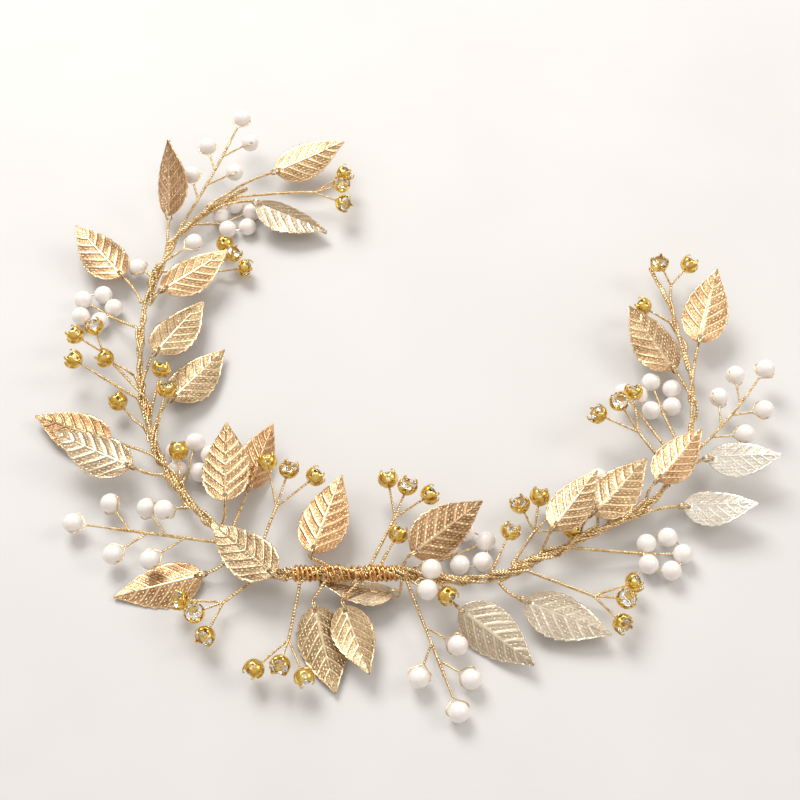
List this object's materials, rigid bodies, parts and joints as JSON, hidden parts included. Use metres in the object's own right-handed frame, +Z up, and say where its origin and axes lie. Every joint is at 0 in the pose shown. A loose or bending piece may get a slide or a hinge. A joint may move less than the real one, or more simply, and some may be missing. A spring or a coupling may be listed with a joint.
{
  "type": "bridal tiara",
  "caption": "Bendable twisted-wire bridal hair vine in an open curve, with stamped gold leaves, crystal cups, pearl sprays and pearl rosettes.",
  "frame": {"origin": "on the surface the vine lies on, under the middle of the binding that joins the two arms", "axes": "+X along the binding towards the right arm, +Y towards the open inside of the curve, +Z up from the surface"},
  "size_m": [0.1952, 0.1869, 0.0184],
  "materials": {
    "leaf_gold": "stamped and lightly brushed champagne gold plate",
    "wire_gold": "satin pale gold wire",
    "binding_wire": "satin deeper gold wire",
    "cup_gold": "bright yellow gold plate",
    "crystal": "clear cut crystal, polished",
    "pearl": "ivory pearl lacquer, soft sheen"
  },
  "bodies": {
    "middle": {"binding_end_coils": "binding_wire", "binding_wrap": "binding_wire", "middle_spine": "wire_gold", "middle_stems": "wire_gold", "middle_cups": "cup_gold", "middle_crystals": "crystal", "middle_pearls": "pearl", "middle_twigs": "wire_gold", "leaf_1": "leaf_gold", "leaf_2": "leaf_gold", "leaf_3": "leaf_gold", "leaf_4": "leaf_gold", "leaf_5": "leaf_gold", "leaf_6": "leaf_gold", "leaf_16": "leaf_gold", "leaf_17": "leaf_gold", "leaf_18": "leaf_gold", "leaf_19": "leaf_gold"},
    "left_inner": {"left_inner_spine": "wire_gold", "left_inner_stems": "wire_gold", "left_inner_cups": "cup_gold", "left_inner_crystals": "crystal", "left_inner_pearls": "pearl", "left_inner_twigs": "wire_gold", "leaf_7": "leaf_gold", "leaf_8": "leaf_gold", "leaf_9": "leaf_gold", "leaf_10": "leaf_gold"},
    "left_outer": {"left_outer_spine": "wire_gold", "left_outer_stems": "wire_gold", "left_outer_cups": "cup_gold", "left_outer_crystals": "crystal", "left_outer_pearls": "pearl", "left_outer_twigs": "wire_gold", "leaf_11": "leaf_gold", "leaf_12": "leaf_gold", "leaf_13": "leaf_gold", "leaf_14": "leaf_gold", "leaf_15": "leaf_gold"},
    "right_inner": {"right_inner_spine": "wire_gold", "right_inner_stems": "wire_gold", "right_inner_cups": "cup_gold", "right_inner_crystals": "crystal", "right_inner_pearls": "pearl", "right_inner_twigs": "wire_gold", "leaf_20": "leaf_gold", "leaf_21": "leaf_gold", "leaf_22": "leaf_gold", "leaf_23": "leaf_gold", "leaf_24": "leaf_gold"},
    "right_outer": {"right_outer_spine": "wire_gold", "right_outer_stems": "wire_gold", "right_outer_cups": "cup_gold", "right_outer_crystals": "crystal", "right_outer_pearls": "pearl", "right_outer_twigs": "wire_gold", "leaf_25": "leaf_gold", "leaf_26": "leaf_gold", "leaf_27": "leaf_gold"}
  },
  "joints": [
    {"name": "left_inner_bend", "type": "hinge", "parent": "middle", "child": "left_inner", "pos_m": [-0.03755, 0.01813, 0.006], "axis": [0, 0, -1], "range_deg": [-15, 15]},
    {"name": "left_outer_bend", "type": "hinge", "parent": "left_inner", "child": "left_outer", "pos_m": [-0.05658, 0.07961, 0.006], "axis": [0, 0, -1], "range_deg": [-15, 15]},
    {"name": "right_inner_bend", "type": "hinge", "parent": "middle", "child": "right_inner", "pos_m": [0.03541, -0.0012, 0.006], "axis": [0, 0, 1], "range_deg": [-15, 15]},
    {"name": "right_outer_bend", "type": "hinge", "parent": "right_inner", "child": "right_outer", "pos_m": [0.0803, 0.02389, 0.006], "axis": [0, 0, 1], "range_deg": [-15, 15]}
  ]
}
